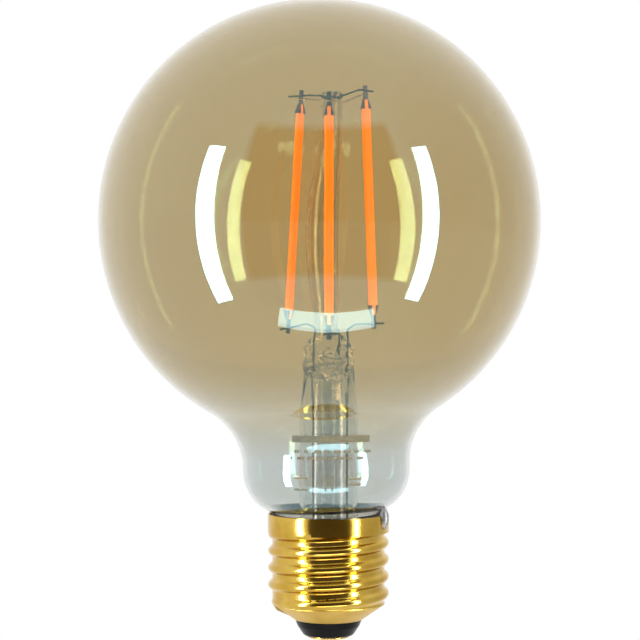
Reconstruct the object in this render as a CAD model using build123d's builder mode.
from build123d import *
import math
import os

os.makedirs("parts", exist_ok=True)

# Large round filament lamp, cap down. The cap axis is the Z axis and the origin is the lowest
# point of the centre contact. Heights are measured from there, in millimetres.

# Envelope: globe, neck, shoulder and spigot, blown as one glass
overall_length = 137.5
globe_diameter = 95.0
glass_wall = 0.8
neck_diameter = 36.0
neck_sweep_radius = 14.0
neck_straight = 1.0
shoulder_radius = 9.5
spigot_diameter = 22.6
spigot_blend_radius = 2.0
seal_height = 20.5
envelope_lean = 1.6  # degrees towards -X: the glass was cemented a little askew

# Screw shell, rolled from brass sheet with the standard 27 mm thread
thread_pitch = 3.629
thread_crest_diameter = 26.05
thread_root_diameter = 24.1
thread_rounding = 1.025
thread_first_crest = 9.36
thread_first_angle = -60.0  # degrees, where the first full crest stands
thread_runout_turns = 0.5
brass_wall = 0.3
cap_height = 27.0
rim_band_diameter = 26.2
rim_band_height = 4.3
rim_band_slope = 0.5
cone_top_height = 7.6
lip_diameter = 14.8
lip_height = 4.3

# Insulator, centre contact and its solder
insulator_face_height = 0.8
insulator_face_diameter = 10.6
insulator_waist_height = 2.9
insulator_waist_diameter = 13.4
insulator_edge_round = 0.9
insulator_seat_height = 1.7
insulator_lip_margin = 0.15
contact_diameter = 9.2
contact_thickness = 0.4
contact_hole_diameter = 2.2
contact_solder_diameter = 5.2
contact_solder_flat = 3.6
wire_hole_clearance = 0.3

# Stem: flare tube with the press at its top, and the exhaust tube
flare_tube_diameter = 12.6
flare_wall = 0.9
flare_sweep_radius = 8.0
flare_rim_thickness = 0.9
flare_taper_start = 49.0
press_bottom = 57.0
press_top = 65.5
press_width = 10.6
press_thickness = 4.8
press_top_width = 5.6
press_top_thickness = 4.6
press_lower_share = 0.25
press_upper_share = 0.65
press_upper_narrowing = 0.93
exhaust_diameter = 5.6
exhaust_wall = 0.9
exhaust_tip_height = 15.4
exhaust_port_diameter = 2.0
exhaust_port_rise = 1.5

# Glass tube between press and button: height share, sideways bow and radius of each section
column_top = 116.4
column_wall = 0.8
column_foot_radius = 2.25
column_foot_bow = -0.45
column_lower_share = 0.24
column_lower_radius = 3.25
column_lower_bow = -1.15
column_middle_share = 0.47
column_middle_radius = 3.45
column_middle_bow = -1.4
column_upper_share = 0.75
column_upper_radius = 2.7
column_upper_bow = 0.0
column_head_radius = 2.0
column_head_bow = 0.8
button_diameter = 4.8
button_height = 1.5
button_top_share = 0.8

# Filaments: four coated strips that stand round the rod, wider apart at the foot
filament_length = 46.4
filament_width = 2.0
filament_thickness = 1.15
filament_corner = 0.45
filament_end_width = 0.9
filament_end_thickness = 0.7
filament_end_taper = 2.0
cage_foot_height = 68.9
cage_foot_radius = 9.15
cage_foot_bow = 0.55
cage_head_radius = 7.0
cage_head_bow = 1.0

# Stamped terminal on each end of a filament
tab_length = 3.1
tab_width = 1.0
tab_thickness = 0.3
claw_wall = 0.15
claw_window_width = 0.8

# Wires. A lead runs level from its weld towards the press, and then bends down into it.
lead_diameter = 0.45
anchor_diameter = 0.4
tie_diameter = 0.4
supply_diameter = 0.4
wire_stub = 1.8
wire_weld_gap = 0.02
weld_distance = 2.0
tie_distance = 1.1
lead_level_run = 4.0
lead_level_share = 0.7
left_lead_place = (-3.2, -1.6)
left_lead_hump = 1.0
left_lead_entry = (0.45, 1.5)
left_lead_knee = 1.6
right_lead_place = (3.9, -1.0)
right_lead_entry = (0.1, 1.2)
right_lead_kink = (0.3, 1.0)
right_lead_knee = 3.0
bridge_place = (2.2, 1.2)
bridge_depth = 4.0
bridge_stub = 1.26
bridge_sag = 0.1

# Driver inside the cap
board_height = 13.0
board_diameter = 22.4
board_thickness = 1.0
board_hole_clearance = 0.1
capacitor_diameter = 6.3
capacitor_length = 5.4
capacitor_place = (-5.9, 1.4)
capacitor_edge_round = 0.4
resistor_diameter = 2.6
resistor_length = 5.6
rectifier_size = (4.7, 3.9, 2.4)
rectifier_place = (6.6, 4.2)
chip_size = (4.9, 3.9, 1.5)
chip_place = (-6.6, 4.6)
package_bevel = 0.25

# Cement and the solder on the rim
cement_drop = 0.15
cement_height = 3.4
side_solder_angle = -27.0
side_solder_width = 2.0
side_solder_height = 4.6
side_solder_tip_radius = 0.3
side_solder_lift = 0.5
side_solder_stand_out = 0.12
side_wire_radius = 11.57
side_wire_margin = 1.6


def finish(part, name):
    """Labels one piece and writes its STEP file."""
    part.label = name
    export_step(part, f"parts/{name}.step")


def polar(radius, angle, height):
    """A point at a radius and an angle in degrees round the cap axis."""
    turn = math.radians(angle)
    return Vector(radius * math.cos(turn), radius * math.sin(turn), height)


def arc_about(centre, start, end):
    """The shorter arc from start to end about a centre."""
    arm = Vector(start) - Vector(centre)
    bisector = (arm + Vector(end) - Vector(centre)).normalized()
    return ThreePointArc(start, Vector(centre) + bisector * arm.length, end)


def make_wire(points, bends, diameter):
    """A round wire along straight runs that are joined by tangent bends."""
    with BuildPart() as wire:
        with BuildLine() as route:
            FilletPolyline(*points, radius=bends)
        with BuildSketch(Plane(origin=route.line @ 0, z_dir=route.line % 0)):
            Circle(diameter / 2)
        sweep(path=route.line)
    return wire.part


# Envelope
spigot_radius = spigot_diameter / 2
lean = math.radians(envelope_lean)
envelope_plane = Plane(
    origin=(0, 0, seal_height), x_dir=(math.cos(lean), 0, math.sin(lean)), z_dir=(0, -1, 0)
)
envelope_axis = Axis((0, 0, seal_height), (-math.sin(lean), 0, math.cos(lean)))


def envelope_outline(inset):
    """Half section of the envelope, drawn inside an open BuildLine, from its crown down to the end
    of the spigot. The inner surface has the same centres and an inset of one wall."""
    globe = globe_diameter / 2
    neck = neck_diameter / 2
    centre = Vector(0, overall_length - globe - seal_height)
    reach = globe + neck_sweep_radius
    drop = math.sqrt(reach**2 - (neck + neck_sweep_radius) ** 2)
    sweep_centre = Vector(neck + neck_sweep_radius, centre.Y - drop)
    shoulder_centre = Vector(neck - shoulder_radius, sweep_centre.Y - neck_straight)
    blend_x = spigot_radius + spigot_blend_radius
    turn_reach = shoulder_radius + spigot_blend_radius
    blend_drop = math.sqrt(turn_reach**2 - (blend_x - shoulder_centre.X) ** 2)
    blend_centre = Vector(blend_x, shoulder_centre.Y - blend_drop)

    to_globe = (centre - sweep_centre).normalized()
    to_shoulder = (shoulder_centre - blend_centre).normalized()
    crown = centre + Vector(0, globe - inset)
    globe_side = centre + Vector(globe - inset, 0)
    globe_end = sweep_centre + to_globe * (neck_sweep_radius + inset)
    neck_start = sweep_centre - Vector(neck_sweep_radius + inset, 0)
    neck_end = shoulder_centre + Vector(shoulder_radius - inset, 0)
    shoulder_end = blend_centre + to_shoulder * (spigot_blend_radius + inset)
    spigot_start = blend_centre - Vector(spigot_blend_radius + inset, 0)
    spigot_end = Vector(spigot_radius - inset, -spigot_radius)

    ThreePointArc(crown, globe_side, globe_end)
    arc_about(sweep_centre, globe_end, neck_start)
    Line(neck_start, neck_end)
    arc_about(shoulder_centre, neck_end, shoulder_end)
    arc_about(blend_centre, shoulder_end, spigot_start)
    Line(spigot_start, spigot_end)
    return crown, spigot_end


with BuildPart() as glass_body:
    with BuildSketch(envelope_plane):
        with BuildLine():
            crown, foot = envelope_outline(0)
            Line(foot, (0, foot.Y))
            Line((0, foot.Y), crown)
        make_face()
    revolve(axis=envelope_axis)
    split(bisect_by=Plane.XY.offset(seal_height), keep=Keep.TOP)

with BuildPart() as glass_globe:
    add(glass_body.part)
    with BuildSketch(envelope_plane):
        with BuildLine():
            crown, foot = envelope_outline(glass_wall)
            Line(foot, (0, foot.Y))
            Line((0, foot.Y), crown)
        make_face()
    revolve(axis=envelope_axis, mode=Mode.SUBTRACT)
finish(glass_globe.part, "glass_globe")

# Screw shell. The thread is a ridge on the outside with a groove behind it, one wall apart.
crest_radius = thread_crest_diameter / 2
root_radius = thread_root_diameter / 2
root_land = 0.07  # the core cylinder stands this much above the deepest point of the root
core_radius = root_radius + root_land
band_bottom = cap_height - rim_band_height
thread_top = band_bottom + rim_band_height / 2
runout_sink = crest_radius - core_radius + 0.2
runout_step = 0.08  # the run-out starts this much inside the full ridge
runout_overlap_turns = 0.02
ridge_bury = 0.9


def thread_face(plane, inset):
    """Section of the ridge on a radial plane whose origin is on the core cylinder: a crest arc,
    straight flanks and root arcs. With an inset it is the groove behind the ridge."""
    crest_arc = thread_rounding - inset
    root_arc = thread_rounding + inset
    crest_centre = Vector(crest_radius - thread_rounding - core_radius, 0)
    root_centre = Vector(root_radius + thread_rounding - core_radius, thread_pitch / 2)
    between = root_centre - crest_centre
    tilt = math.acos((crest_arc + root_arc) / between.length)
    toward = between.normalized().rotate(Axis.Z, -math.degrees(tilt))
    flank_top = crest_centre + toward * crest_arc
    flank_foot = root_centre - toward * root_arc
    foot_drop = root_centre.X + inset
    foot_reach = math.sqrt(root_arc**2 - foot_drop**2)
    foot = Vector(-inset, root_centre.Y - foot_reach)
    buried = Vector(-inset - ridge_bury, foot.Y)
    with BuildSketch(plane) as face:
        with BuildLine():
            arc_about(root_centre, foot, flank_foot)
            Line(flank_foot, flank_top)
            top = crest_centre + Vector(crest_arc, 0)
            ThreePointArc(flank_top, top, (flank_top.X, -flank_top.Y))
            Line((flank_top.X, -flank_top.Y), (flank_foot.X, -flank_foot.Y))
            arc_about((root_centre.X, -root_centre.Y), (flank_foot.X, -flank_foot.Y),
                      (foot.X, -foot.Y))
            Polyline((foot.X, -foot.Y), (buried.X, -buried.Y), buried, foot)
        make_face()
    return face.sketch.face()


def make_thread(inset):
    """The ridge from its first full crest up into the rim band, and the run-out below it, where the
    ridge sinks into the shell along a cone."""
    runout = thread_pitch * thread_runout_turns
    cone = math.degrees(math.atan((runout_sink - runout_step) / runout))
    with BuildPart() as full:
        with BuildLine() as rise:
            Helix(thread_pitch, thread_top - thread_first_crest, core_radius,
                  center=(0, 0, thread_first_crest))
        start = Plane(origin=rise.line @ 0, x_dir=(1, 0, 0), z_dir=(0, -1, 0))
        sweep(sections=thread_face(start, inset), path=rise.line, is_frenet=True)
    with BuildPart() as sunk:
        with BuildLine() as fall:
            Helix(thread_pitch, runout + thread_pitch * runout_overlap_turns,
                  core_radius - runout_sink, center=(0, 0, thread_first_crest - runout),
                  cone_angle=cone)
        start = Plane(origin=fall.line @ 0, x_dir=(1, 0, 0), z_dir=(0, -1, 0))
        sweep(sections=thread_face(start, inset), path=fall.line, is_frenet=True)
    low_end_angle = thread_first_angle - 360 * thread_runout_turns
    return sunk.part.rotate(Axis.Z, low_end_angle), full.part.rotate(Axis.Z, thread_first_angle)


cone_slope = math.atan2(cone_top_height - lip_height, core_radius - lip_diameter / 2)


def cone_inner_radius(height, inset=brass_wall):
    """Radius of the cone between lip and thread at a height, measured one inset inside it."""
    rise = height - lip_height - inset / math.cos(cone_slope)
    return lip_diameter / 2 + rise / math.tan(cone_slope)


def shell_outline(inset, reach):
    """Half section of the shell without its thread. With an inset it is the cavity, which reaches
    past both open ends."""
    low = lip_height - reach
    cone_run = inset / math.cos(cone_slope) - inset * math.tan(cone_slope)
    step_rise = inset * math.tan(math.radians(22.5))
    band_radius = rim_band_diameter / 2 - inset
    Polyline(
        (0, low),
        (cone_inner_radius(low, inset), low),
        (core_radius - inset, cone_top_height + cone_run),
        (core_radius - inset, band_bottom + step_rise),
        (band_radius, band_bottom + rim_band_slope + step_rise),
        (band_radius, cap_height + reach),
        (0, cap_height + reach),
        close=True,
    )


with BuildPart() as shell_cavity:
    with BuildSketch(Plane.XZ):
        with BuildLine():
            shell_outline(brass_wall, brass_wall)
        make_face()
    revolve(axis=Axis.Z)
    for groove in make_thread(brass_wall):
        add(groove)

with BuildPart() as cap_shell:
    with BuildSketch(Plane.XZ):
        with BuildLine():
            shell_outline(0, 0)
        make_face()
    revolve(axis=Axis.Z)
    for ridge in make_thread(0):
        add(ridge)
    add(shell_cavity.part, mode=Mode.SUBTRACT)
finish(cap_shell.part, "cap_shell")

# Filaments. Each has a frame at its foot: Z along the strip, X across its wide face.
filament_places = {
    "left": {"foot_angle": 180.0, "head_angle": 180.0, "turn": 45.0, "lift": 0.0},
    "front": {"foot_angle": -93.0, "head_angle": -97.6, "turn": 0.0, "lift": -1.2},
    "right": {"foot_angle": 0.0, "head_angle": 0.0, "turn": 18.0, "lift": 1.0},
    "back": {"foot_angle": 93.0, "head_angle": 97.6, "turn": 0.0, "lift": -0.6},
}


def filament_frame(place):
    """Frame at the foot of a filament, whose strip leans in towards the head of the cage."""
    foot = polar(cage_foot_radius, place["foot_angle"], 0) + Vector(cage_foot_bow, 0, 0)
    head = polar(cage_head_radius, place["head_angle"], 0) + Vector(cage_head_bow, 0, 0)
    inward = head - foot
    climb = math.sqrt(filament_length**2 - inward.length**2)
    along = Vector(inward.X, inward.Y, climb).normalized()
    turn = math.radians(place["turn"])
    wide = Vector(math.cos(turn), math.sin(turn), 0)
    across = (wide - along * wide.dot(along)).normalized()
    origin = Vector(foot.X, foot.Y, cage_foot_height + place["lift"])
    return Plane(origin=origin, x_dir=across, z_dir=along)


def end_frame(place, head):
    """Frame at the coated end of a filament, with Z pointing out of the strip."""
    frame = filament_frame(place)
    if head:
        return frame.offset(filament_length)
    return Plane(origin=frame.origin, x_dir=frame.x_dir, z_dir=-frame.z_dir)


def weld_point(place, head, distance, diameter, side):
    """Centre of a wire that touches the terminal on its front (-1) or back (+1) corner."""
    frame = end_frame(place, head)
    turn = math.radians(place["turn"])
    corner = (tab_width * abs(math.sin(turn)) + tab_thickness * math.cos(turn)) / 2
    stand_off = corner + diameter / 2 + wire_weld_gap
    on_axis = frame.origin + frame.z_dir * distance
    return on_axis + Vector(0, side * stand_off, 0)


def make_filament(place):
    """LED strip in its silicone coat, tapered at both ends."""
    frame = filament_frame(place)
    stations = (
        (0, filament_end_width, filament_end_thickness),
        (filament_end_taper, filament_width, filament_thickness),
        (filament_length - filament_end_taper, filament_width, filament_thickness),
        (filament_length, filament_end_width, filament_end_thickness),
    )
    with BuildPart() as strip:
        for height, width, thickness in stations:
            with BuildSketch(frame.offset(height)):
                corner = filament_corner * thickness / filament_thickness
                RectangleRounded(width, thickness, corner)
        loft(ruled=True)
    return strip.part


def make_tab(place, head, strip):
    """Stamped terminal: a tongue, and two claws that hold the tapered end of the strip."""
    frame = end_frame(place, head)
    with BuildPart() as tab:
        with BuildSketch(frame):
            RectangleRounded(filament_end_width + 2 * claw_wall,
                             filament_end_thickness + 2 * claw_wall, filament_corner / 2)
        with BuildSketch(frame.offset(-filament_end_taper)):
            RectangleRounded(filament_width + 2 * claw_wall,
                             filament_thickness + 2 * claw_wall, filament_corner / 2)
        loft(ruled=True)
        with BuildSketch(frame.offset(-filament_end_taper)):
            Rectangle(claw_window_width, filament_thickness * 2)
        extrude(amount=filament_end_taper, mode=Mode.SUBTRACT)
        add(strip, mode=Mode.SUBTRACT)
        with BuildSketch(frame):
            Rectangle(filament_end_width + 2 * claw_wall, tab_thickness)
        extrude(amount=tab_thickness)
        with BuildSketch(frame):
            Rectangle(tab_width, tab_thickness)
        extrude(amount=tab_length)
    return tab.part


for side_name, place in filament_places.items():
    strip = make_filament(place)
    finish(strip, f"filament_{side_name}")
    finish(make_tab(place, False, strip), f"foot_tab_{side_name}")
    finish(make_tab(place, True, strip), f"head_tab_{side_name}")

left_place = filament_places["left"]
right_place = filament_places["right"]
front_place = filament_places["front"]
back_place = filament_places["back"]
board_top = board_height + board_thickness

# Lead wires: from a terminal through the press and the flare tube to the driver board
left_weld = weld_point(left_place, False, weld_distance, lead_diameter, -1)
left_x, left_y = left_lead_place
lead_wire_left = make_wire(
    [
        left_weld + Vector(-wire_stub, 0, -0.25),
        left_weld + Vector(0.6, 0, 0.15),
        left_weld + Vector(lead_level_run, (left_y - left_weld.Y) * lead_level_share, left_lead_hump),
        (left_x + left_lead_entry[0], left_y, press_top + left_lead_entry[1]),
        (left_x, left_y, press_top - left_lead_knee),
        (left_x, left_y, board_height),
    ],
    [1.5, 2.0, 0.6, 0.8],
    lead_diameter,
)
finish(lead_wire_left, "lead_wire_left")

right_weld = weld_point(right_place, False, weld_distance, lead_diameter, -1)
right_x, right_y = right_lead_place
lead_wire_right = make_wire(
    [
        right_weld + Vector(wire_stub + 0.4, 0, 0.1),
        right_weld + Vector(-lead_level_run, (right_y - right_weld.Y) * lead_level_share, -0.15),
        (right_x + right_lead_entry[0], right_y, press_top + right_lead_entry[1]),
        (right_x + right_lead_kink[0], right_y, press_top - right_lead_kink[1]),
        (right_x, right_y, press_top - right_lead_knee),
        (right_x, right_y, board_height),
    ],
    [1.2, 0.8, 1.0, 1.0],
    lead_diameter,
)
finish(lead_wire_right, "lead_wire_right")

# Bridge wire: held in the press by its bend, it joins the front and back filaments at their feet
front_weld = weld_point(front_place, False, weld_distance, lead_diameter, -1)
back_weld = weld_point(back_place, False, weld_distance, lead_diameter, 1)
bridge_x, bridge_y = bridge_place
bridge_wire = make_wire(
    [
        front_weld + Vector(-bridge_stub, 0, 0),
        (bridge_x + bridge_sag, front_weld.Y, front_weld.Z + bridge_sag),
        (bridge_x, -bridge_y, press_top + bridge_sag),
        (bridge_x, -bridge_y, press_top - bridge_depth),
        (bridge_x, bridge_y, press_top - bridge_depth),
        (bridge_x, bridge_y, press_top + 0.3),
        (bridge_x + bridge_sag, back_weld.Y, back_weld.Z + bridge_sag),
        back_weld + Vector(-bridge_stub, 0, 0),
    ],
    [0.7, 0.9, 0.7, 0.7, 0.9, 0.7],
    lead_diameter,
)
finish(bridge_wire, "bridge_wire")

# Flare tube and press, one glass, clamped round the wires while soft
tube_radius = flare_tube_diameter / 2
press_radius = press_width / 2
rim_bottom = seal_height - flare_rim_thickness
with BuildPart() as stem_flare:
    with BuildSketch(Plane.XZ):
        with BuildLine():
            Line((spigot_radius, rim_bottom), (spigot_radius, seal_height))
            Line((spigot_radius, seal_height), (tube_radius + flare_sweep_radius / 2, seal_height))
            Spline(
                (tube_radius + flare_sweep_radius / 2, seal_height),
                (tube_radius, seal_height + flare_sweep_radius),
                tangents=[(-1, 0.15), (0, 1)],
            )
            Line((tube_radius, seal_height + flare_sweep_radius), (tube_radius, flare_taper_start))
            Line((tube_radius, flare_taper_start), (press_radius, press_bottom))
            Line((press_radius, press_bottom), (0, press_bottom))
            Line((0, press_bottom), (0, rim_bottom))
            Line((0, rim_bottom), (spigot_radius, rim_bottom))
        make_face()
    revolve(axis=Axis.Z)
    press_height = press_top - press_bottom
    with BuildSketch(Plane.XY.offset(press_bottom)):
        Ellipse(press_radius, press_radius)
    with BuildSketch(Plane.XY.offset(press_bottom + press_lower_share * press_height)):
        Ellipse(press_radius, press_thickness / 2)
    with BuildSketch(Plane.XY.offset(press_bottom + press_upper_share * press_height)):
        Ellipse(press_radius * press_upper_narrowing, press_thickness / 2)
    with BuildSketch(Plane.XY.offset(press_top)):
        Ellipse(press_top_width / 2, press_top_thickness / 2)
    loft()
    bore_foot = tube_radius + flare_sweep_radius / 2 - flare_wall
    bore_roof = press_bottom - flare_wall
    with BuildSketch(Plane.XZ):
        with BuildLine():
            Line((0, rim_bottom), (bore_foot, rim_bottom))
            Spline(
                (bore_foot, rim_bottom),
                (tube_radius - flare_wall, seal_height + flare_sweep_radius),
                tangents=[(-1, 0.3), (0, 1)],
            )
            Polyline(
                (tube_radius - flare_wall, seal_height + flare_sweep_radius),
                (tube_radius - flare_wall, flare_taper_start),
                (press_radius - flare_wall, bore_roof),
                (0, bore_roof),
                (0, rim_bottom),
            )
        make_face()
    revolve(axis=Axis.Z, mode=Mode.SUBTRACT)
    port_height = press_bottom + exhaust_port_rise
    with BuildSketch(Plane.XY.offset(bore_roof)):
        Circle(exhaust_port_diameter / 2)
    extrude(amount=port_height - bore_roof, mode=Mode.SUBTRACT)
    with BuildSketch(Plane.XZ.offset(-press_width)):
        with Locations((0, port_height)):
            Circle(exhaust_port_diameter / 2)
    extrude(amount=press_width, mode=Mode.SUBTRACT)
    for wire in (lead_wire_left, lead_wire_right, bridge_wire):
        add(wire, mode=Mode.SUBTRACT)
finish(stem_flare.part, "stem_flare")

# Exhaust tube, joined to the press and melted shut at its tip
exhaust_radius = exhaust_diameter / 2
exhaust_bore = exhaust_radius - exhaust_wall
tip_round = exhaust_tip_height + exhaust_radius
with BuildPart() as exhaust_tube:
    with BuildSketch(Plane.XZ):
        with BuildLine():
            arc_about((0, tip_round), (0, exhaust_tip_height), (exhaust_radius, tip_round))
            Line((exhaust_radius, tip_round), (exhaust_radius, bore_roof))
            Line((exhaust_radius, bore_roof), (exhaust_bore, bore_roof))
            Line((exhaust_bore, bore_roof), (exhaust_bore, tip_round))
            arc_about((0, tip_round), (exhaust_bore, tip_round), (0, tip_round - exhaust_bore))
            Line((0, tip_round - exhaust_bore), (0, exhaust_tip_height))
        make_face()
    revolve(axis=Axis.Z)
finish(exhaust_tube.part, "exhaust_tube")

# Glass tube on the press. Its bore is closed by the press below and by the button above.
column_length = column_top - press_top
column_sections = (
    (0, column_foot_bow, column_foot_radius),
    (column_lower_share, column_lower_bow, column_lower_radius),
    (column_middle_share, column_middle_bow, column_middle_radius),
    (column_upper_share, column_upper_bow, column_upper_radius),
    (1, column_head_bow, column_head_radius),
)
with BuildPart() as glass_column:
    for inset, mode in ((0, Mode.ADD), (column_wall, Mode.SUBTRACT)):
        for share, bow, radius in column_sections:
            section_centre = (bow, 0, press_top + share * column_length)
            with BuildSketch(Plane(origin=section_centre)):
                Circle(radius - inset)
        loft(mode=mode)
finish(glass_column.part, "glass_column")

# Upper wires. The anchors are melted into the button, the ties join neighbouring filaments.
button_middle = column_top + button_height / 2
left_head = weld_point(left_place, True, weld_distance - 0.2, anchor_diameter, -1)
right_head = weld_point(right_place, True, weld_distance, anchor_diameter, -1)
button_left = column_head_bow - button_diameter / 4
button_right = column_head_bow + button_diameter / 4
top_anchor_left = make_wire(
    [
        left_head + Vector(-wire_stub - 1.0, 0, -0.2),
        left_head + Vector(1.6, 0, 0.1),
        (button_left - 1.8, 0, button_middle),
        (button_left, 0, button_middle),
    ],
    [1.5, 1.5],
    anchor_diameter,
)
finish(top_anchor_left, "top_anchor_left")
top_anchor_right = make_wire(
    [
        (button_right, 0, button_middle),
        (button_right + 1.4, 0, button_middle + 0.1),
        right_head + Vector(-1.3, 0, 0.1),
        right_head + Vector(wire_stub, 0, -0.3),
    ],
    [0.8, 0.9],
    anchor_diameter,
)
finish(top_anchor_right, "top_anchor_right")

left_tie = weld_point(left_place, True, tie_distance, tie_diameter, -1)
front_tie = weld_point(front_place, True, tie_distance, tie_diameter, -1)
tie_wire_front = make_wire(
    [
        left_tie + Vector(-0.7, 0, 0.05),
        left_tie + Vector(0.8, 0, 0),
        front_tie + Vector(-1.3, 0, 0.1),
        front_tie + Vector(wire_stub, 0, -0.1),
    ],
    [0.7, 1.2],
    tie_diameter,
)
finish(tie_wire_front, "tie_wire_front")
right_tie = weld_point(right_place, True, tie_distance, tie_diameter, 1)
back_tie = weld_point(back_place, True, tie_distance, tie_diameter, 1)
tie_wire_back = make_wire(
    [
        right_tie + Vector(0.7, 0, 0.05),
        right_tie + Vector(-0.8, 0, 0),
        back_tie + Vector(1.3, 0, 0.1),
        back_tie + Vector(-wire_stub, 0, -0.1),
    ],
    [0.7, 1.2],
    tie_diameter,
)
finish(tie_wire_back, "tie_wire_back")

# Button, a bead melted on the rod round the anchor wires
with BuildPart() as column_button:
    button_base = (column_head_bow, 0, column_top)
    with BuildSketch(Plane(origin=button_base, x_dir=(1, 0, 0), z_dir=(0, -1, 0))):
        with BuildLine():
            bead = button_diameter / 2
            Line((0, 0), (column_head_radius, 0))
            button_top = column_head_radius * button_top_share
            ThreePointArc((column_head_radius, 0), (bead, button_height / 2),
                          (button_top, button_height))
            Line((button_top, button_height), (0, button_height))
            Line((0, button_height), (0, 0))
        make_face()
    revolve(axis=Axis((column_head_bow, 0, 0), (0, 0, 1)))
    add(top_anchor_left, mode=Mode.SUBTRACT)
    add(top_anchor_right, mode=Mode.SUBTRACT)
finish(column_button.part, "column_button")

# Insulator, pressed into the lip of the shell, with a flange behind the lip
hole_radius = supply_diameter / 2 + wire_hole_clearance
seat_top = lip_height + insulator_seat_height
with BuildPart() as cap_insulator:
    with BuildSketch(Plane.XZ):
        with BuildLine():
            Polyline(
                (hole_radius, insulator_face_height),
                (insulator_face_diameter / 2, insulator_face_height),
                (insulator_waist_diameter / 2, insulator_waist_height),
                (lip_diameter / 2 - insulator_lip_margin, lip_height),
                (cone_inner_radius(lip_height), lip_height),
                (cone_inner_radius(seat_top), seat_top),
                (hole_radius, seat_top),
                close=True,
            )
        make_face()
        corners = vertices().group_by(Axis.Y)[0].sort_by(Axis.X)
        fillet(corners[-1], insulator_edge_round)
    revolve(axis=Axis.Z)
finish(cap_insulator.part, "cap_insulator")

# Centre contact, a dished brass disc, and the solder that closes it
contact_radius = contact_diameter / 2
contact_bottom = insulator_face_height - contact_thickness
with BuildPart() as centre_contact:
    with BuildSketch(Plane.XY.offset(contact_bottom)):
        Circle(contact_radius)
        Circle(contact_hole_diameter / 2, mode=Mode.SUBTRACT)
    extrude(amount=contact_thickness)
    fillet(edges().group_by(Axis.Z)[0].sort_by(SortBy.LENGTH)[-1], contact_thickness * 0.6)
finish(centre_contact.part, "centre_contact")

# Fusible resistor under the board, and the wire from it to the contact
resistor_bottom = board_height - resistor_length
supply_wire_contact = make_wire(
    [
        (0, 0, resistor_bottom),
        (0, 0, (resistor_bottom + seat_top) / 2),
        (0.12, 0, seat_top - 1.2),
        (0.12, 0, contact_bottom),
    ],
    [1.0, 1.0],
    supply_diameter,
)
finish(supply_wire_contact, "supply_wire_contact")

with BuildPart() as contact_solder:
    with BuildSketch(Plane.XZ):
        with BuildLine():
            rise = contact_bottom
            Line((0, 0), (contact_solder_flat / 2, 0))
            bulge_radius = (contact_solder_flat + contact_solder_diameter) / 4 + rise / 8
            ThreePointArc(
                (contact_solder_flat / 2, 0),
                (bulge_radius, rise * 0.38),
                (contact_solder_diameter / 2, rise),
            )
            Polyline(
                (contact_solder_diameter / 2, rise),
                (contact_hole_diameter / 2, rise),
                (contact_hole_diameter / 2, insulator_face_height),
                (0, insulator_face_height),
                (0, 0),
            )
        make_face()
    revolve(axis=Axis.Z)
    add(supply_wire_contact, mode=Mode.SUBTRACT)
finish(contact_solder.part, "contact_solder")

with BuildPart() as fusible_resistor:
    with BuildSketch(Plane.XY.offset(resistor_bottom)):
        Circle(resistor_diameter / 2)
    extrude(amount=resistor_length)
    fillet(edges().group_by(Axis.Z)[0], resistor_diameter / 5)
finish(fusible_resistor.part, "fusible_resistor")

# Supply wire to the shell: up between spigot and shell, through the cement, over the rim
wire_over_rim = cap_height + supply_diameter
band_inner = rim_band_diameter / 2 - brass_wall
supply_wire_shell = make_wire(
    [
        polar(board_diameter / 2 - side_wire_margin, side_solder_angle, board_height),
        polar(board_diameter / 2 - side_wire_margin, side_solder_angle, board_top + side_wire_margin),
        polar(side_wire_radius, side_solder_angle, rim_bottom - 2.2),
        polar(side_wire_radius, side_solder_angle, band_bottom + 1.2),
        polar(band_inner - supply_diameter, side_solder_angle, band_bottom + 2.6),
        polar(band_inner - supply_diameter, side_solder_angle, wire_over_rim + 0.3),
        polar(rim_band_diameter / 2 + 0.2, side_solder_angle, wire_over_rim + 0.3),
    ],
    [0.8, 0.8, 0.8, 0.8, 0.45],
    supply_diameter,
)
finish(supply_wire_shell, "supply_wire_shell")

# Cement ring between the glass and the rim band
with BuildPart() as capping_cement:
    with BuildSketch(Plane.XY.offset(cap_height - cement_drop - cement_height)):
        Circle(band_inner)
    extrude(amount=cement_height)
    add(glass_body.part, mode=Mode.SUBTRACT)
    add(supply_wire_shell, mode=Mode.SUBTRACT)
finish(capping_cement.part, "capping_cement")

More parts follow.
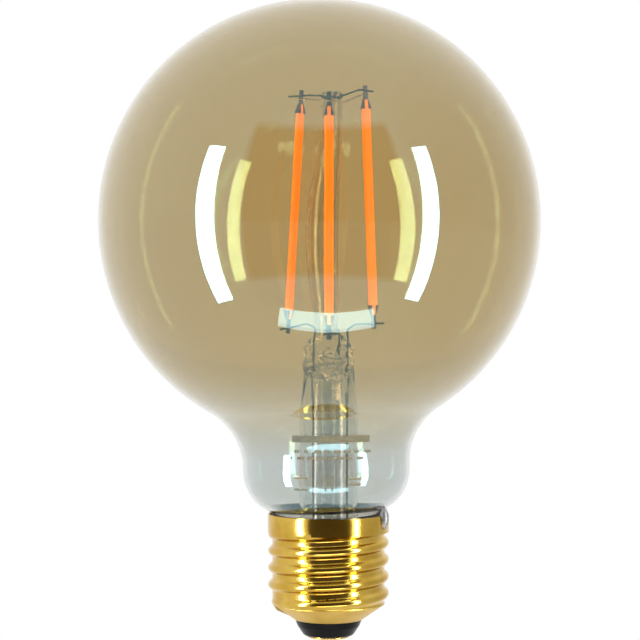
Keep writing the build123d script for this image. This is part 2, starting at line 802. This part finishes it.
# Solder over the end of the supply wire, on the edge of the rim
rim_radius = rim_band_diameter / 2
solder_middle = polar(
    rim_radius + side_solder_stand_out, side_solder_angle, cap_height - side_solder_lift
)
with BuildPart() as side_solder:
    with BuildSketch(Plane(origin=solder_middle, x_dir=polar(1, side_solder_angle, 0),
                           z_dir=polar(1, side_solder_angle - 90, 0))):
        with BuildLine():
            half_height = side_solder_height / 2
            tip = side_solder_tip_radius
            Line((0, -half_height), (tip, -half_height))
            ThreePointArc((tip, -half_height), (side_solder_width / 2, 0), (tip, half_height))
            Polyline((tip, half_height), (0, half_height), (0, -half_height))
        make_face()
    revolve(axis=Axis((solder_middle.X, solder_middle.Y, 0), (0, 0, 1)))
    with BuildSketch(Plane.XY.offset(band_bottom)):
        Circle(rim_radius)
    extrude(amount=rim_band_height, mode=Mode.SUBTRACT)
    add(glass_body.part, mode=Mode.SUBTRACT)
    add(supply_wire_shell, mode=Mode.SUBTRACT)
finish(side_solder.part, "side_solder")

# Driver board with its parts
with BuildPart() as driver_board:
    with BuildSketch(Plane.XY.offset(board_height)):
        Circle(board_diameter / 2)
        hole = lead_diameter / 2 + board_hole_clearance
        shell_wire = polar(board_diameter / 2 - side_wire_margin, side_solder_angle, 0)
        with Locations(left_lead_place, right_lead_place, (shell_wire.X, shell_wire.Y)):
            Circle(hole, mode=Mode.SUBTRACT)
    extrude(amount=board_thickness)
finish(driver_board.part, "driver_board")

with BuildPart() as smoothing_capacitor:
    with BuildSketch(Plane.XY.offset(board_height - capacitor_length)):
        with Locations(capacitor_place):
            Circle(capacitor_diameter / 2)
    extrude(amount=capacitor_length)
    fillet(edges().group_by(Axis.Z)[0], capacitor_edge_round)
finish(smoothing_capacitor.part, "smoothing_capacitor")


def make_package(size, place):
    """A moulded chip package that lies on the board, its top edges bevelled."""
    length, width, height = size
    with BuildPart() as package:
        with BuildSketch(Plane.XY.offset(board_top)):
            with Locations(place):
                Rectangle(length, width)
        extrude(amount=height)
        chamfer(edges().group_by(Axis.Z)[-1], package_bevel)
    return package.part


finish(make_package(rectifier_size, rectifier_place), "bridge_rectifier")
finish(make_package(chip_size, chip_place), "driver_chip")
